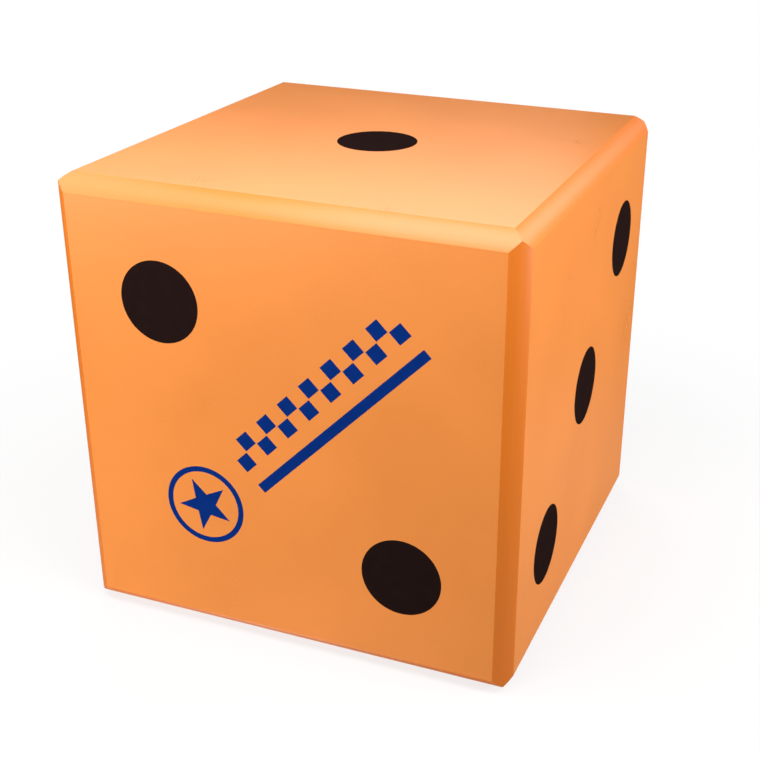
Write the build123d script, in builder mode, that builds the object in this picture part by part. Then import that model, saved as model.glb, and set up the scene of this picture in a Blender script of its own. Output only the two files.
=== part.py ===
"""Giant yard die: six flat panels, set flush in a screwed frame of twelve bevelled edge rails.

Millimetres, +Z up. The origin is the middle of the face it rests on, the front looks towards -Y
and the right-hand side towards +X. Opposite faces add up to seven.
"""

import os
from itertools import combinations, product
from math import cos, radians, sin

from build123d import *

os.makedirs("parts", exist_ok=True)

# ---------------------------------------------------------------- driving dimensions

SIDE = 406.0  # over two opposite faces, 16 inches
BEVEL_LEG = 14.3  # how far the bevel runs in from each sharp edge
BEVEL_CROWN = 1.2  # how far the bevel bulges beyond its flat chord

PANEL_THICKNESS = 4.0
PANEL_GAP = 0.1  # assembly clearance between a panel and each rail
TAPE_THICKNESS = 1.0
TAPE_WIDTH = 16.0
TAPE_MARGIN = 1.5  # from the panel's edge to the tape
TAPE_END_GAP = 1.0  # between the end of one strip and the side of the next

LEDGE_WIDTH = 20.0  # part of a rail that reaches in under a panel
LEDGE_THICKNESS = 3.0
NOSE_WALL = 4.0  # rail wall behind the bevel

BRACKET_SIZE = 38.0
BRACKET_WALL = 4.0
BRACKET_FILLET = 3.0
BOSS_RADIUS = 5.0
BOSS_HEIGHT = 5.0

SCREW_RADIUS = 2.0
SCREW_HEAD_RADIUS = 3.75
SCREW_LENGTH = 11.0
SCREW_POINT = 2.0
SCREW_CLEARANCE = 0.2
SCREW_ALONG = 36.0  # from the die's corner, along the rail
SCREW_ACROSS = 24.0  # from the die's edge, across the rail
COUNTERSINK_ANGLE = 90.0
RECESS_LENGTH = 4.4  # cross recess in the screw's head
RECESS_WIDTH = 0.9
RECESS_DEPTH = 1.5

PIP_RADIUS = 35.7
PIP_OFFSET = 106.4  # from the face's centre to a pip's row
PIP_THICKNESS = 0.5  # discs lie flush in shallow pockets

DECAL_THICKNESS = 0.3
BADGE_ALONG = -108.0  # the badge's centre, along the face's rising diagonal
BADGE_RADIUS = 37.0
BADGE_RING = 5.0
STAR_RADIUS = 26.0
STAR_WAIST = 0.40  # inner radius of the star over its outer one
STAR_POINTS = 5
CHECK_SIZE = 14.0  # one square of the two-row checker band
CHECK_GAP = 0.8  # between the corners of two squares
CHECK_COLUMNS = 15
CHECK_START = -49.0  # the band's near end, along the diagonal
CHECK_BASE = -2.0  # the band's lower edge, above the diagonal
STRIPE_DROP = 20.0  # the stripe's centre, below the diagonal
STRIPE_HEIGHT = 9.0

# ---------------------------------------------------------------- derived dimensions

HALF = SIDE / 2
CENTRE = Vector(0, 0, HALF)
LEDGE_DEPTH = PANEL_THICKNESS + TAPE_THICKNESS  # from the face down to the rail's ledge
BRACKET_DEPTH = LEDGE_DEPTH + LEDGE_THICKNESS  # from the face down to the corner bracket
PANEL_HALF = HALF - BEVEL_LEG - PANEL_GAP
NOSE_INNER = BEVEL_LEG + NOSE_WALL * 2**0.5  # sum of both depths behind the bevel wall

FACES = {
    "top": Plane(origin=(0, 0, SIDE), x_dir=(1, 0, 0), z_dir=(0, 0, 1)),
    "bottom": Plane(origin=(0, 0, 0), x_dir=(1, 0, 0), z_dir=(0, 0, -1)),
    "front": Plane(origin=(0, -HALF, HALF), x_dir=(1, 0, 0), z_dir=(0, -1, 0)),
    "back": Plane(origin=(0, HALF, HALF), x_dir=(-1, 0, 0), z_dir=(0, 1, 0)),
    "right": Plane(origin=(HALF, 0, HALF), x_dir=(0, 1, 0), z_dir=(1, 0, 0)),
    "left": Plane(origin=(-HALF, 0, HALF), x_dir=(0, -1, 0), z_dir=(-1, 0, 0)),
}

# Pip rows and columns on each face, in steps of PIP_OFFSET, seen from outside.
CORNERS = [(-1, -1), (-1, 1), (1, -1), (1, 1)]
PIPS = {
    "top": [(0, 0)],
    "front": [(-1, 1), (1, -1)],
    "right": [(-1, -1), (0, 0), (1, 1)],
    "left": CORNERS,
    "back": CORNERS + [(0, 0)],
    "bottom": CORNERS + [(-1, 0), (1, 0)],
}
PIP_NAMES = {
    "top": "pip_top_one",
    "front": "pips_front_two",
    "right": "pips_right_three",
    "left": "pips_left_four",
    "back": "pips_back_five",
    "bottom": "pips_bottom_six",
}

FRONT = FACES["front"]
FRONT_DIAGONAL = Plane(origin=FRONT.origin, x_dir=FRONT.x_dir + FRONT.y_dir, z_dir=FRONT.z_dir)

# Screws through the rails' ledges: two at each corner of a face, one on each rail.
SCREW_SPOTS = []
for sign_x, sign_y in CORNERS:
    SCREW_SPOTS.append((sign_x * (HALF - SCREW_ALONG), sign_y * (HALF - SCREW_ACROSS)))
    SCREW_SPOTS.append((sign_x * (HALF - SCREW_ACROSS), sign_y * (HALF - SCREW_ALONG)))


def save(piece, name):
    """Label a finished piece and write it to its own file."""
    piece.label = name
    export_step(piece, f"parts/{name}.step")


# ---------------------------------------------------------------- flat outlines


def pip_outline(plane, layout):
    """Round pips of one face."""
    with BuildSketch(plane) as outline:
        with Locations(*[(column * PIP_OFFSET, row * PIP_OFFSET) for column, row in layout]):
            Circle(PIP_RADIUS)
    return outline.sketch


def badge_outline(plane):
    """A plain ring with a star inside; the plane's X runs up the face's diagonal."""
    corners = []
    for step in range(2 * STAR_POINTS):
        angle = radians(180 * step / STAR_POINTS)
        reach = STAR_RADIUS * (STAR_WAIST if step % 2 else 1)
        corners.append((BADGE_ALONG + reach * cos(angle), reach * sin(angle)))
    with BuildSketch(plane) as outline:
        with Locations((BADGE_ALONG, 0)):
            Circle(BADGE_RADIUS)
            Circle(BADGE_RADIUS - BADGE_RING, mode=Mode.SUBTRACT)
        with BuildLine():
            Polyline(*corners, close=True)
        make_face()
    return outline.sketch


def band_outline(plane):
    """A checker band of two rows over one plain stripe, beside the badge."""
    length = CHECK_COLUMNS * CHECK_SIZE
    squares = []
    for column, row in product(range(CHECK_COLUMNS), range(2)):
        if (column + row) % 2 == 0:
            middle = (CHECK_START + (column + 0.5) * CHECK_SIZE, CHECK_BASE + (row + 0.5) * CHECK_SIZE)
            squares.append(middle)
    with BuildSketch(plane) as outline:
        with Locations(*squares):
            Rectangle(CHECK_SIZE - CHECK_GAP, CHECK_SIZE - CHECK_GAP)
        with Locations((CHECK_START + length / 2, -STRIPE_DROP)):
            Rectangle(length, STRIPE_HEIGHT)
    return outline.sketch


# ---------------------------------------------------------------- pieces


def make_panel(name, face):
    """A square board with a shallow pocket for each disc and decal."""
    with BuildPart() as panel:
        with BuildSketch(face):
            Rectangle(2 * PANEL_HALF, 2 * PANEL_HALF)
        extrude(amount=-PANEL_THICKNESS)
        extrude(pip_outline(face, PIPS[name]), amount=-PIP_THICKNESS, mode=Mode.SUBTRACT)
        if name == "front":
            extrude(badge_outline(FRONT_DIAGONAL), amount=-DECAL_THICKNESS, mode=Mode.SUBTRACT)
            extrude(band_outline(FRONT_DIAGONAL), amount=-DECAL_THICKNESS, mode=Mode.SUBTRACT)
    return panel.part


def make_inlay(outline, thickness):
    """Flat pieces that fill a pocket flush with the face."""
    with BuildPart() as inlay:
        extrude(outline, amount=-thickness)
    return inlay.part


def make_tape(face):
    """Four bonding strips between a panel and the ledges of its four rails."""
    middle = PANEL_HALF - TAPE_MARGIN - TAPE_WIDTH / 2
    length = 2 * middle - TAPE_END_GAP
    with BuildPart() as tape:
        with BuildSketch(face.offset(-LEDGE_DEPTH)):
            with PolarLocations(0, 4):
                with Locations((middle, (TAPE_WIDTH + TAPE_END_GAP) / 2)):
                    Rectangle(TAPE_WIDTH, length)
        extrude(amount=TAPE_THICKNESS)
    return tape.part


def make_rail(face, other):
    """Edge rail: a crowned bevel in front, and a ledge under each of the two panels."""
    normal = face.z_dir
    other_normal = other.z_dir
    along = normal.cross(other_normal)
    section = Plane(origin=CENTRE + (normal + other_normal) * HALF, x_dir=-normal, z_dir=along)
    crown = BEVEL_LEG / 2 - BEVEL_CROWN / 2**0.5
    reach = BEVEL_LEG + LEDGE_WIDTH
    nose = NOSE_INNER - BRACKET_DEPTH
    with BuildPart() as rail:
        with BuildSketch(section):
            with BuildLine():
                ThreePointArc((0, BEVEL_LEG), (crown, crown), (BEVEL_LEG, 0))
                Polyline(
                    (BEVEL_LEG, 0),
                    (BEVEL_LEG, LEDGE_DEPTH),
                    (reach, LEDGE_DEPTH),
                    (reach, BRACKET_DEPTH),
                    (nose, BRACKET_DEPTH),
                    (BRACKET_DEPTH, nose),
                    (BRACKET_DEPTH, reach),
                    (LEDGE_DEPTH, reach),
                    (LEDGE_DEPTH, BEVEL_LEG),
                    (0, BEVEL_LEG),
                )
            make_face()
        extrude(amount=HALF, both=True)
        for end, side in product((along, -along), (normal, other_normal)):
            mitre = Plane(origin=CENTRE, z_dir=end - side)
            split(bisect_by=mitre, keep=Keep.BOTTOM)
        for plane in (face, other):
            with Locations(plane.offset(-LEDGE_DEPTH)):
                with Locations(*SCREW_SPOTS):
                    CounterSinkHole(
                        SCREW_RADIUS + SCREW_CLEARANCE,
                        SCREW_HEAD_RADIUS + SCREW_CLEARANCE,
                        depth=2 * LEDGE_THICKNESS,
                        counter_sink_angle=COUNTERSINK_ANGLE,
                    )
    return rail.part


def make_bracket(faces):
    """Three-walled corner bracket inside the meeting of three rails, with six screw bosses."""
    outward = faces[0].z_dir + faces[1].z_dir + faces[2].z_dir
    corner = CENTRE + outward * (HALF - BRACKET_DEPTH)
    block = corner - outward * (BRACKET_SIZE / 2)
    hollow = block - outward * BRACKET_WALL
    edge_leg = NOSE_INNER - 2 * BRACKET_DEPTH
    with BuildPart() as bracket:
        with Locations(block):
            Box(BRACKET_SIZE, BRACKET_SIZE, BRACKET_SIZE)
        chamfer(bracket.edges().sort_by_distance(corner)[:3], edge_leg)
        with Locations(hollow):
            Box(BRACKET_SIZE, BRACKET_SIZE, BRACKET_SIZE, mode=Mode.SUBTRACT)
        inside = corner - outward * BRACKET_WALL
        fillet(bracket.edges().sort_by_distance(inside)[:3], BRACKET_FILLET)
        spots = []
        for face, place in product(faces, SCREW_SPOTS):
            spot = face * Location((place[0], place[1], 0))
            if (spot.position - corner).length < BRACKET_SIZE * 2**0.5:
                spots.append(Plane(spot).offset(-BRACKET_DEPTH))
        for spot in spots:
            with Locations(spot.offset(-BRACKET_WALL - BOSS_HEIGHT / 2)):
                Cylinder(BOSS_RADIUS, BOSS_HEIGHT)
        for spot in spots:
            with Locations(spot):
                Hole(SCREW_RADIUS, depth=BRACKET_WALL + BOSS_HEIGHT + SCREW_CLEARANCE)
    return bracket.part


def make_screw():
    """Countersunk self-tapping screw with a cross recess, its head's top at the origin."""
    cone = SCREW_HEAD_RADIUS - SCREW_RADIUS
    with BuildPart() as screw:
        with BuildSketch(Plane.XZ):
            with BuildLine():
                Polyline(
                    (0, 0),
                    (SCREW_HEAD_RADIUS, 0),
                    (SCREW_RADIUS, -cone),
                    (SCREW_RADIUS, SCREW_POINT - SCREW_LENGTH),
                    (0, -SCREW_LENGTH),
                    close=True,
                )
            make_face()
        revolve(axis=Axis.Z)
        with BuildSketch(Plane.XY):
            Rectangle(RECESS_LENGTH, RECESS_WIDTH)
            Rectangle(RECESS_WIDTH, RECESS_LENGTH)
        extrude(amount=-RECESS_DEPTH, mode=Mode.SUBTRACT)
    return screw.part


def make_screw_set(face, screw):
    """The eight screws under one panel."""
    with BuildPart() as screws:
        with Locations(face.offset(-LEDGE_DEPTH)):
            with Locations(*SCREW_SPOTS):
                add(screw)
    return screws.part


# ---------------------------------------------------------------- the die

single_screw = make_screw()
for face_name, face_plane in FACES.items():
    save(make_panel(face_name, face_plane), f"panel_{face_name}")
    save(make_inlay(pip_outline(face_plane, PIPS[face_name]), PIP_THICKNESS), PIP_NAMES[face_name])
    save(make_tape(face_plane), f"tape_{face_name}")
    save(make_screw_set(face_plane, single_screw), f"rail_screws_{face_name}")

for (name_a, plane_a), (name_b, plane_b) in combinations(FACES.items(), 2):
    if abs(plane_a.z_dir.dot(plane_b.z_dir)) < 0.5:
        save(make_rail(plane_a, plane_b), f"rail_{name_a}_{name_b}")

for names in product(("top", "bottom"), ("front", "back"), ("right", "left")):
    bracket_name = "corner_bracket_" + "_".join(names)
    save(make_bracket([FACES[name] for name in names]), bracket_name)

save(make_inlay(badge_outline(FRONT_DIAGONAL), DECAL_THICKNESS), "decal_star_badge")
save(make_inlay(band_outline(FRONT_DIAGONAL), DECAL_THICKNESS), "decal_checker_band")
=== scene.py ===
"""Looks of the giant yard die: satin orange panels and crowned edge rails, flush pips and decals."""

from itertools import combinations
from math import atan2, cos, dist, pi, radians, sin

import bmesh
import bpy
from mathutils import Matrix, Quaternion, Vector


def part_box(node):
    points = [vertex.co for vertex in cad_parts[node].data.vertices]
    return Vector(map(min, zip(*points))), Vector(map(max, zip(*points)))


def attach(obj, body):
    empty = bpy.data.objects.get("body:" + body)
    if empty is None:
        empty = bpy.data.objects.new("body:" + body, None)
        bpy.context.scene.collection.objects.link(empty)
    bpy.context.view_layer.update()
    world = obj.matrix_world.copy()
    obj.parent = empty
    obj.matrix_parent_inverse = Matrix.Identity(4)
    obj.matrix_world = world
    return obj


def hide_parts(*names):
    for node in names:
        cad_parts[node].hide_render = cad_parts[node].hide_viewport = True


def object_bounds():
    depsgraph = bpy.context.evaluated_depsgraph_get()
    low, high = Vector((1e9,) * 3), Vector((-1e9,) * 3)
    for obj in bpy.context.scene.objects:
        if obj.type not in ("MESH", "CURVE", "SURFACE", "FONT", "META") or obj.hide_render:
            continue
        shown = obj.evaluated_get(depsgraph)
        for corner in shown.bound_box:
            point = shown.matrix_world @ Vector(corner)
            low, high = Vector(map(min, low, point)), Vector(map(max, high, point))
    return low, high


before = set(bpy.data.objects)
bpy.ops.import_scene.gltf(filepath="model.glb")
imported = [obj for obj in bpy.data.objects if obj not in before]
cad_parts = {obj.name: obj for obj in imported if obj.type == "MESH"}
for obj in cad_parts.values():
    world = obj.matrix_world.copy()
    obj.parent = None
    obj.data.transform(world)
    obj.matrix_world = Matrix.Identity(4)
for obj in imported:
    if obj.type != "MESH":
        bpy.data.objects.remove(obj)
cad_low, cad_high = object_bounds()
scene = bpy.context.scene

MM = 0.001
ROOT_TWO = 2**0.5

# ---------------------------------------------------------------- sizes, from the frame

HALF = (cad_high.x - cad_low.x) / 2
CENTRE = (cad_low + cad_high) / 2

panel_low, panel_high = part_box("panel_top")
PANEL_HALF = panel_high.x
PANEL_THICKNESS = panel_high.z - panel_low.z

rail_low, rail_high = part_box("rail_top_front")
RAIL_REACH = rail_high.z - rail_low.z  # from the face to the far edge of the rail's ledge

pip_low, pip_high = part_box("pip_top_one")
PIP_RADIUS = pip_high.x
PIP_THICKNESS = pip_high.z - pip_low.z
PIP_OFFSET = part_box("pips_front_two")[1].x - PIP_RADIUS  # from the face's centre to a pip's row

PANEL_GAP = 0.1 * MM  # the CAD's clearance between a panel and each rail
LAP_GAP = 0.01 * MM  # the gap drawn there instead
PANEL_SINK = 0.06 * MM  # boards lie this much below the face plane, so that films show on them
BEVEL_LEG = HALF - PANEL_HALF - PANEL_GAP  # how far the bevel runs in from each sharp edge
BEVEL_CROWN = 1.2 * MM  # how far the bevel bulges beyond its flat chord
LEDGE_THICKNESS = 3 * MM
LEDGE_DEPTH = 5 * MM  # from the face down to the rail's ledge
NOSE_WALL = 4 * MM  # rail wall behind the bevel
MITRE_GAP = 0.03 * MM  # from a rail's end to its mitre plane, along the rail

# Outward normal and the direction that counts as right, seen from outside.
FACES = {
    "top": (Vector((0, 0, 1)), Vector((1, 0, 0))),
    "bottom": (Vector((0, 0, -1)), Vector((1, 0, 0))),
    "front": (Vector((0, -1, 0)), Vector((1, 0, 0))),
    "back": (Vector((0, 1, 0)), Vector((-1, 0, 0))),
    "right": (Vector((1, 0, 0)), Vector((0, 1, 0))),
    "left": (Vector((-1, 0, 0)), Vector((0, -1, 0))),
}

# Columns and rows of pips, counted from the middle of the face.
CORNERS = [(-1, -1), (-1, 1), (1, -1), (1, 1)]
PIPS = {
    "pip_top_one": ("top", [(0, 0)]),
    "pips_front_two": ("front", [(-1, 1), (1, -1)]),
    "pips_right_three": ("right", [(-1, -1), (0, 0), (1, 1)]),
    "pips_left_four": ("left", CORNERS),
    "pips_back_five": ("back", CORNERS + [(0, 0)]),
    "pips_bottom_six": ("bottom", CORNERS + [(-1, 0), (1, 0)]),
}

# ---------------------------------------------------------------- fineness of the meshes

BOARD_CELLS = 44  # squares along each side of a board
BEVEL_STEPS = 8  # from the crest of a bevel to either edge
RAIL_STATIONS = 64  # along a rail
PIP_STEPS = 96  # around a pip
FLOOR_CELLS = 8
SMOOTH_ANGLE = radians(30)  # sharper corners than this stay creased

# ---------------------------------------------------------------- looks

PANEL_TINT = (0.75, 0.243, 0.052)
# the rails' orange, deeper and redder than the boards': painted shade, standing in for the redder look
# of the shaded edges
RAIL_TINT_WITH_PAINTED_SHADE = (0.75, 0.183, 0.013)
TINT_SWING = 0.05  # the orange gets this share darker and lighter from place to place
ROUGHNESS_SWING = 0.02  # and this much smoother and rougher
PIP_TINT = (0.015, 0.0075, 0.0068)
DECAL_TINT = (0.003, 0.026, 0.175)
FILM_DARKEST = 0.85  # darkest spots of a film, as a share of its tint
FILM_ROUGHNESS = (0.46, 0.55)
BRACKET_TINTS = ((0.018, 0.018, 0.02), (0.034, 0.034, 0.036))
TAPE_TINTS = ((0.78, 0.78, 0.75), (0.66, 0.66, 0.63))
ZINC_TINTS = ((0.50, 0.49, 0.44), (0.66, 0.65, 0.62))

FLOOR_TINTS = ((0.77, 0.77, 0.77), (0.79, 0.79, 0.79))
FLOOR_HALF = 0.8  # half the length of its side
FLOOR_DROP = 0.2 * MM  # keeps the floor off the bottom pips
FLOOR_BODY = 0.22  # how solid the floor is around the die
FLOOR_SOLID = 0.30  # from here, measured from its middle, the floor fades
FLOOR_EDGE = 0.75  # from here on it is gone

SURROUND_STRENGTH = 1.0  # what the camera sees behind the die
FILL_STRENGTH = 0.05  # what the surround lights the die with


# ---------------------------------------------------------------- node helpers


def new_material(name):
    """A new material, with its node tree and its shader."""
    material = bpy.data.materials.new(name)
    material.use_nodes = True
    tree = material.node_tree
    return material, tree, tree.nodes["Principled BSDF"]


def add_node(tree, kind, **inputs):
    """One node, with its input sockets set by name."""
    node = tree.nodes.new(kind)
    for socket, value in inputs.items():
        node.inputs[socket.replace("_", " ")].default_value = value
    return node


def scaled(tint, share):
    """A tint with every channel multiplied by one share."""
    return tuple(share * channel for channel in tint)


def colour_from(tree, shader, source, start, end, first, last):
    """Base colour from a grey source: first up to start, last from end on, blended between."""
    node = tree.nodes.new("ShaderNodeValToRGB")
    tree.links.new(source, node.inputs["Fac"])
    elements = node.color_ramp.elements
    elements[0].position = start
    elements[0].color = (*first, 1)
    elements[1].position = end
    elements[1].color = (*last, 1)
    tree.links.new(node.outputs["Color"], shader.inputs["Base Color"])


def roughness_from(tree, shader, source, low, high):
    """Roughness from a grey source, 0 to 1 mapped on to low to high."""
    node = add_node(tree, "ShaderNodeMapRange", To_Min=low, To_Max=high)
    tree.links.new(source, node.inputs["Value"])
    tree.links.new(node.outputs["Result"], shader.inputs["Roughness"])


def noise(tree, scale, detail, stretch=(1, 1, 1), coordinates="Object"):
    """Noise over the piece's own coordinates; stretch multiplies the scale along each axis."""
    space = tree.nodes.new("ShaderNodeTexCoord")
    mapping = add_node(tree, "ShaderNodeMapping", Scale=stretch)
    tree.links.new(space.outputs[coordinates], mapping.inputs["Vector"])
    texture = add_node(tree, "ShaderNodeTexNoise", Scale=scale, Detail=detail)
    tree.links.new(mapping.outputs["Vector"], texture.inputs["Vector"])
    return texture.outputs["Fac"]


def weighted_sum(tree, parts):
    """Sum of grey sources, each (source, weight)."""
    total = None
    for source, weight in parts:
        node = tree.nodes.new("ShaderNodeMath")
        node.operation = "MULTIPLY_ADD"
        tree.links.new(source, node.inputs[0])
        node.inputs[1].default_value = weight
        node.inputs[2].default_value = 0.0
        if total is not None:
            tree.links.new(total, node.inputs[2])
        total = node.outputs["Value"]
    return total


def bump(tree, shader, heights):
    """Chained bumps, each (height source, distance, strength)."""
    last = None
    for source, distance, strength in heights:
        node = add_node(tree, "ShaderNodeBump", Distance=distance, Strength=strength)
        tree.links.new(source, node.inputs["Height"])
        if last is not None:
            tree.links.new(last.outputs["Normal"], node.inputs["Normal"])
        last = node
    tree.links.new(last.outputs["Normal"], shader.inputs["Normal"])


# ---------------------------------------------------------------- materials


def satin_orange(name, tint, roughness, gloss, drawn):
    """Satin orange plastic. drawn adds the fine lengthwise lines of an extruded rail."""
    material, tree, shader = new_material(name)
    shader.inputs["IOR"].default_value = 1.45
    shader.inputs["Specular IOR Level"].default_value = gloss
    broad = noise(tree, scale=9, detail=3)
    grain = noise(tree, scale=800, detail=2)
    parts = [(broad, 0.8), (grain, 0.2)]
    heights = [(broad, 0.4 * MM, 0.05), (grain, 0.03 * MM, 0.05)]
    if drawn:
        lines = noise(tree, scale=520, detail=4, stretch=(0.008, 1, 1), coordinates="UV")
        parts = [(broad, 0.25), (grain, 0.15), (lines, 0.6)]
        heights.append((lines, 0.05 * MM, 0.5))
    shade = weighted_sum(tree, parts)
    dark = scaled(tint, 1 - TINT_SWING)
    light = scaled(tint, 1 + TINT_SWING)
    colour_from(tree, shader, shade, start=0.3, end=0.7, first=dark, last=light)
    roughness_from(tree, shader, shade, roughness - ROUGHNESS_SWING, roughness + ROUGHNESS_SWING)
    bump(tree, shader, heights)
    return material


def satin_film(name, tint):
    """Thin opaque film: pips and decals."""
    material, tree, shader = new_material(name)
    shader.inputs["Specular IOR Level"].default_value = 0.0
    mottle = noise(tree, scale=120, detail=4)
    dark = scaled(tint, FILM_DARKEST)
    colour_from(tree, shader, mottle, start=0.3, end=0.75, first=dark, last=tint)
    grain = noise(tree, scale=2200, detail=3)
    low, high = FILM_ROUGHNESS
    roughness_from(tree, shader, grain, low, high)
    bump(tree, shader, [(grain, 0.01 * MM, 0.4)])
    return material


def moulded_black(name):
    """Textured black moulding: the corner brackets."""
    material, tree, shader = new_material(name)
    spark = noise(tree, scale=1400, detail=3)
    dark, light = BRACKET_TINTS
    colour_from(tree, shader, spark, start=0.3, end=0.7, first=dark, last=light)
    roughness_from(tree, shader, spark, low=0.42, high=0.6)
    bump(tree, shader, [(spark, 0.06 * MM, 0.5)])
    return material


def foam_tape(name):
    """White closed-cell foam with a faint cell pattern."""
    material, tree, shader = new_material(name)
    space = tree.nodes.new("ShaderNodeTexCoord")
    cells = add_node(tree, "ShaderNodeTexVoronoi", Scale=1800)
    tree.links.new(space.outputs["Object"], cells.inputs["Vector"])
    depth = cells.outputs["Distance"]
    middle, wall = TAPE_TINTS
    colour_from(tree, shader, depth, start=0.0, end=0.9, first=middle, last=wall)
    shader.inputs["Roughness"].default_value = 0.85
    bump(tree, shader, [(depth, 0.1 * MM, 0.6)])
    return material


def zinc_plate(name):
    """Zinc-plated steel with a soft, slightly yellow cloudiness."""
    material, tree, shader = new_material(name)
    shader.inputs["Metallic"].default_value = 1.0
    cloud = noise(tree, scale=500, detail=4)
    dull, bright = ZINC_TINTS
    colour_from(tree, shader, cloud, start=0.3, end=0.7, first=dull, last=bright)
    roughness_from(tree, shader, cloud, low=0.25, high=0.42)
    bump(tree, shader, [(cloud, 0.02 * MM, 0.3)])
    return material


def pale_floor(name):
    """Plain pale studio floor, partly see-through, that fades out away from the die."""
    material, tree, shader = new_material(name)
    speck = noise(tree, scale=30, detail=4)
    dark, light = FLOOR_TINTS
    colour_from(tree, shader, speck, start=0.2, end=0.8, first=dark, last=light)
    shader.inputs["Roughness"].default_value = 0.9
    shader.inputs["Specular IOR Level"].default_value = 0.1
    space = tree.nodes.new("ShaderNodeTexCoord")
    length = tree.nodes.new("ShaderNodeVectorMath")
    length.operation = "LENGTH"
    tree.links.new(space.outputs["Object"], length.inputs[0])
    fade = add_node(
        tree,
        "ShaderNodeMapRange",
        From_Min=FLOOR_SOLID,
        From_Max=FLOOR_EDGE,
        To_Min=FLOOR_BODY,
        To_Max=0.0,
    )
    fade.interpolation_type = "SMOOTHSTEP"
    tree.links.new(length.outputs["Value"], fade.inputs["Value"])
    tree.links.new(fade.outputs["Result"], shader.inputs["Alpha"])
    return material


board_orange = satin_orange("board_orange", PANEL_TINT, roughness=0.28, gloss=0.17, drawn=False)
# the rails' tint carries painted shade: a redder orange than the boards' own
rail_orange = satin_orange("rail_orange", RAIL_TINT_WITH_PAINTED_SHADE, roughness=0.37, gloss=0.70, drawn=True)
pip_black = satin_film("pip_black", PIP_TINT)
decal_blue = satin_film("decal_blue", DECAL_TINT)
bracket_black = moulded_black("bracket_black")
tape_white = foam_tape("tape_white")
screw_zinc = zinc_plate("screw_zinc")
floor_pale = pale_floor("floor_pale")


# ---------------------------------------------------------------- mesh helpers


def place_on_face(builder, face):
    """Takes a mesh from face space, X right, Y up and Z outward, to its face of the die."""
    normal, right = FACES[face]
    up = normal.cross(right)
    turn = Matrix((right, up, normal)).transposed().to_4x4()
    matrix = Matrix.Translation(CENTRE + normal * HALF) @ turn
    bmesh.ops.transform(builder, matrix=matrix, verts=builder.verts)


def thicken(builder, faces, depth):
    """Makes a solid of flat faces in face space, down to a depth below the face plane."""
    grown = bmesh.ops.extrude_face_region(builder, geom=faces)
    for item in grown["geom"]:
        if isinstance(item, bmesh.types.BMVert):
            item.co.z = -depth


def finish_piece(name, builder, material, slot_name, *nodes):
    """Puts a built mesh in the scene as a piece that stands for CAD nodes."""
    bmesh.ops.recalc_face_normals(builder, faces=builder.faces)
    mesh = bpy.data.meshes.new(name)
    builder.to_mesh(mesh)
    builder.free()
    for polygon in mesh.polygons:
        polygon.use_smooth = True
    mesh.set_sharp_from_angle(angle=SMOOTH_ANGLE)
    mesh.materials.append(material)
    piece = bpy.data.objects.new(name, mesh)
    scene.collection.objects.link(piece)
    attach(piece, "root")
    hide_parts(*nodes)


# ---------------------------------------------------------------- panels


def make_panel(face):
    """A flat board that meets the rails in crisp creases."""
    rim = HALF - BEVEL_LEG - LAP_GAP
    lines = [rim * (2 * step / BOARD_CELLS - 1) for step in range(BOARD_CELLS + 1)]
    builder = bmesh.new()
    rows = [[builder.verts.new((x, y, -PANEL_SINK)) for x in lines] for y in lines]
    for lower, upper in zip(rows, rows[1:]):
        for index in range(BOARD_CELLS):
            builder.faces.new((lower[index], lower[index + 1], upper[index + 1], upper[index]))
    thicken(builder, builder.faces[:], PANEL_THICKNESS)
    place_on_face(builder, face)
    finish_piece(f"board_{face}", builder, board_orange, "panel_board", f"panel_{face}")


# ---------------------------------------------------------------- rails


def bevel_arc():
    """Half of the crowned bevel, from its crest to one edge, as depths from both faces."""
    half_chord = BEVEL_LEG * ROOT_TWO / 2
    radius = (half_chord**2 + BEVEL_CROWN**2) / (2 * BEVEL_CROWN)
    centre = BEVEL_LEG / 2 + (radius - BEVEL_CROWN) / ROOT_TWO
    spread = atan2(half_chord, radius - BEVEL_CROWN)
    crest_angle = radians(225)
    points = []
    for step in range(BEVEL_STEPS + 1):
        angle = crest_angle + spread * step / BEVEL_STEPS
        points.append((centre + radius * cos(angle), centre + radius * sin(angle)))
    return points


def rail_section():
    """Closed outline of a rail as (depth from one face, depth from the other).

    It starts and ends in the middle of the inner chamfer. That point and the crest of the
    bevel lie on the line of equal depths, where two mitre planes meet.
    """
    inner_depth = LEDGE_DEPTH + LEDGE_THICKNESS
    chamfer_sum = BEVEL_LEG + NOSE_WALL * ROOT_TWO  # both depths added, anywhere on the chamfer
    crest, *slope = bevel_arc()
    ledge = [
        (BEVEL_LEG, LEDGE_DEPTH),
        (RAIL_REACH, LEDGE_DEPTH),
        (RAIL_REACH, inner_depth),
        (chamfer_sum - inner_depth, inner_depth),
    ]
    side = slope + ledge
    mirrored = [(other_depth, depth) for depth, other_depth in reversed(side)]
    return [(chamfer_sum / 2, chamfer_sum / 2), *mirrored, crest, *side]


def rail_rings(builder, section, face, other):
    """The section's points at every station; the first and last lie beside the mitre planes."""
    normal = FACES[face][0]
    other_normal = FACES[other][0]
    along = normal.cross(other_normal)
    edge = CENTRE + (normal + other_normal) * HALF
    rings = []
    for station in range(RAIL_STATIONS + 1):
        share = 2 * station / RAIL_STATIONS - 1
        ring = []
        for depth, other_depth in section:
            end = HALF - max(depth, other_depth) - MITRE_GAP
            place = edge - normal * depth - other_normal * other_depth + along * (share * end)
            ring.append(builder.verts.new(place))
        rings.append(ring)
    return rings


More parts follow.
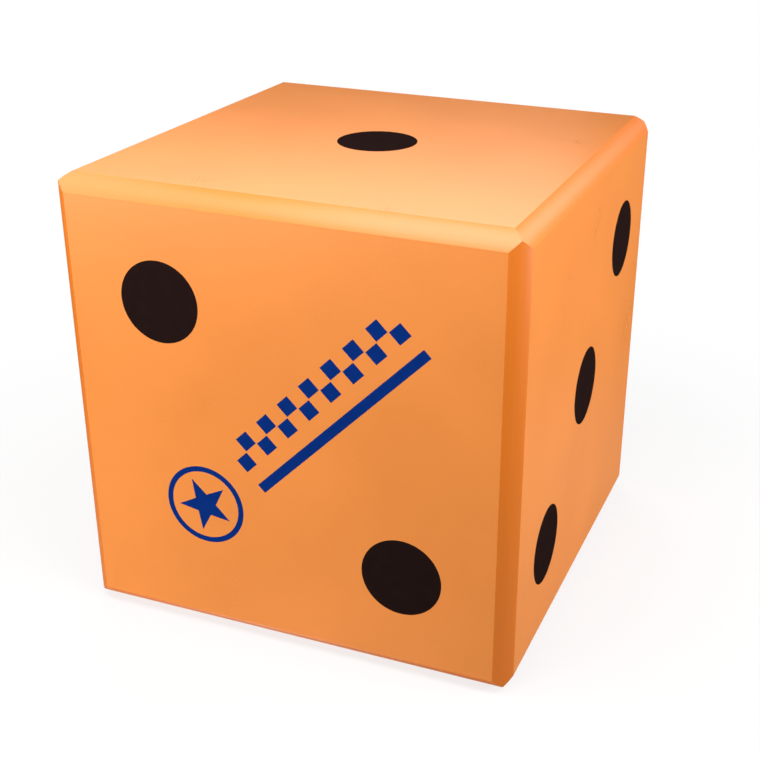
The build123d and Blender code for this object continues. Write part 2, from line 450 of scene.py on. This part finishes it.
def skin_rings(builder, layer, section, rings):
    """Quads from ring to ring, with UVs in metres: U along the rail, V around its section."""
    count = len(section)
    around = [0.0]
    for point, following in zip(section, section[1:] + section[:1]):
        around.append(around[-1] + dist(point, following))
    for station in range(RAIL_STATIONS):
        for index in range(count):
            following = (index + 1) % count
            corners = [
                (rings[station][index], station, index),
                (rings[station][following], station, index + 1),
                (rings[station + 1][following], station + 1, index + 1),
                (rings[station + 1][index], station + 1, index),
            ]
            quad = builder.faces.new([corner[0] for corner in corners])
            for loop, (_, row, column) in zip(quad.loops, corners):
                loop[layer].uv = (2 * HALF * row / RAIL_STATIONS, around[column])


def close_ends(builder, rings):
    """Two flat mitre faces at each end, which meet from the inner chamfer to the crest."""
    crest = len(rings[0]) // 2
    for ring in (rings[0], rings[-1]):
        builder.faces.new(ring[: crest + 1])
        builder.faces.new(ring[crest:] + ring[:1])


def make_rail(face, other):
    """Edge rail swept between its four mitre planes."""
    section = rail_section()
    builder = bmesh.new()
    layer = builder.loops.layers.uv.new("UVMap")
    rings = rail_rings(builder, section, face, other)
    skin_rings(builder, layer, section, rings)
    close_ends(builder, rings)
    finish_piece(f"edging_{face}_{other}", builder, rail_orange, "edge_rail", f"rail_{face}_{other}")


# ---------------------------------------------------------------- pips


def make_pips(node, face, layout):
    """Flush round films of one face."""
    builder = bmesh.new()
    for column, row in layout:
        rim = []
        for step in range(PIP_STEPS):
            angle = 2 * pi * step / PIP_STEPS
            x = column * PIP_OFFSET + PIP_RADIUS * cos(angle)
            y = row * PIP_OFFSET + PIP_RADIUS * sin(angle)
            rim.append(builder.verts.new((x, y, 0)))
        thicken(builder, [builder.faces.new(rim)], PIP_THICKNESS)
    place_on_face(builder, face)
    finish_piece(f"film_{node}", builder, pip_black, "pip_black", node)


# ---------------------------------------------------------------- the die

for face in FACES:
    make_panel(face)
for face, other in combinations(FACES, 2):
    opposite = FACES[face][0] == -FACES[other][0]
    if not opposite:
        make_rail(face, other)
for node, (face, layout) in PIPS.items():
    make_pips(node, face, layout)

# Materials for the CAD meshes that stay in the picture, by the start of their nodes' names.
KEPT = {
    "corner_bracket": bracket_black,
    "tape": tape_white,
    "rail_screws": screw_zinc,
    "decal": decal_blue,
}
for name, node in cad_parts.items():
    for prefix, material in KEPT.items():
        if name.startswith(prefix):
            node.data.materials.clear()
            node.data.materials.append(material)

# ---------------------------------------------------------------- floor

floor_builder = bmesh.new()
bmesh.ops.create_grid(
    floor_builder, x_segments=FLOOR_CELLS, y_segments=FLOOR_CELLS, size=FLOOR_HALF
)
floor_mesh = bpy.data.meshes.new("floor")
floor_builder.to_mesh(floor_mesh)
floor_builder.free()
floor_mesh.materials.append(floor_pale)
floor = bpy.data.objects.new("floor", floor_mesh)
floor.location.z = cad_low.z - FLOOR_DROP
scene.collection.objects.link(floor)

# ---------------------------------------------------------------- lights


def aim(item, target, roll=0.0):
    """Points an object's -Z at a target, turned by roll about its own axis."""
    direction = target - item.location
    turn = direction.to_track_quat("-Z", "Y")
    item.rotation_mode = "QUATERNION"
    item.rotation_quaternion = turn @ Quaternion((0, 0, 1), roll)


def softbox(name, azimuth, elevation, distance, width, height, power):
    """A rectangular area light, aimed at the die's centre.

    Azimuth 0 stands in front of the die, 90 at its right. Angles are in degrees, distance and
    sizes in metres, power in watts.
    """
    data = bpy.data.lights.new(name, "AREA")
    data.shape = "RECTANGLE"
    data.size = width
    data.size_y = height
    data.energy = power
    light = bpy.data.objects.new(name, data)
    turn = radians(azimuth)
    rise = radians(elevation)
    away = Vector((sin(turn) * cos(rise), -cos(turn) * cos(rise), sin(rise)))
    light.location = CENTRE + away * distance
    light.visible_camera = False
    scene.collection.objects.link(light)
    aim(light, CENTRE)


softbox("top_box", azimuth=0, elevation=62, distance=0.75, width=0.45, height=0.45, power=4.1)
softbox("high_left_box", azimuth=-58, elevation=42, distance=0.82, width=0.49, height=0.49, power=2.5)
softbox("high_right_box", azimuth=61, elevation=41, distance=0.92, width=0.45, height=0.45, power=3.8)
softbox("front_box", azimuth=-27, elevation=2, distance=1.40, width=0.8, height=0.28, power=12.0)
softbox("right_box", azimuth=94, elevation=6, distance=1.08, width=0.5, height=0.15, power=6.2)
softbox("back_box", azimuth=209, elevation=40, distance=1.11, width=0.89, height=0.35, power=3.6)
softbox("right_back_box", azimuth=144, elevation=30, distance=1.55, width=0.45, height=0.45, power=3.4)
softbox("low_back_box", azimuth=125, elevation=1, distance=2.0, width=1.0, height=0.36, power=11.5)
softbox("left_back_box", azimuth=222, elevation=1, distance=1.3, width=0.9, height=0.36, power=8.5)
softbox("under_box", azimuth=-30, elevation=-60, distance=0.9, width=0.5, height=0.5, power=3.5)

# ---------------------------------------------------------------- surround

WHITE = (1, 1, 1, 1)

world = bpy.data.worlds.new("studio")
scene.world = world
world.use_nodes = True
world_tree = world.node_tree
world_tree.nodes.clear()
rays = world_tree.nodes.new("ShaderNodeLightPath")
surround = add_node(world_tree, "ShaderNodeBackground", Color=WHITE, Strength=SURROUND_STRENGTH)
fill = add_node(world_tree, "ShaderNodeBackground", Color=WHITE, Strength=FILL_STRENGTH)
either = world_tree.nodes.new("ShaderNodeMixShader")
world_out = world_tree.nodes.new("ShaderNodeOutputWorld")
world_tree.links.new(rays.outputs["Is Camera Ray"], either.inputs["Fac"])
world_tree.links.new(fill.outputs["Background"], either.inputs[1])
world_tree.links.new(surround.outputs["Background"], either.inputs[2])
world_tree.links.new(either.outputs["Shader"], world_out.inputs["Surface"])

# ---------------------------------------------------------------- camera

CAMERA_PLACE = Vector((2.211, -5.132, 2.419))  # from the die's centre, in half sides
CAMERA_AIM = Vector((0.236, 0.064, -0.197))  # likewise
CAMERA_ROLL = radians(0.726)
CAMERA_LENS = 61.29  # focal length in millimetres
CAMERA_SENSOR = 36  # width in millimetres
CAMERA_SHIFT = (-0.0656, 0.0155)  # brings the die where the photo has it

camera_data = bpy.data.cameras.new("camera")
camera_data.lens = CAMERA_LENS
camera_data.sensor_width = CAMERA_SENSOR
camera_data.shift_x, camera_data.shift_y = CAMERA_SHIFT
camera = bpy.data.objects.new("camera", camera_data)
camera.location = CENTRE + CAMERA_PLACE * HALF
scene.collection.objects.link(camera)
aim(camera, CENTRE + CAMERA_AIM * HALF, CAMERA_ROLL)
scene.camera = camera

scene.view_settings.view_transform = "Standard"
scene.view_settings.look = "None"

bpy.context.view_layer.update()
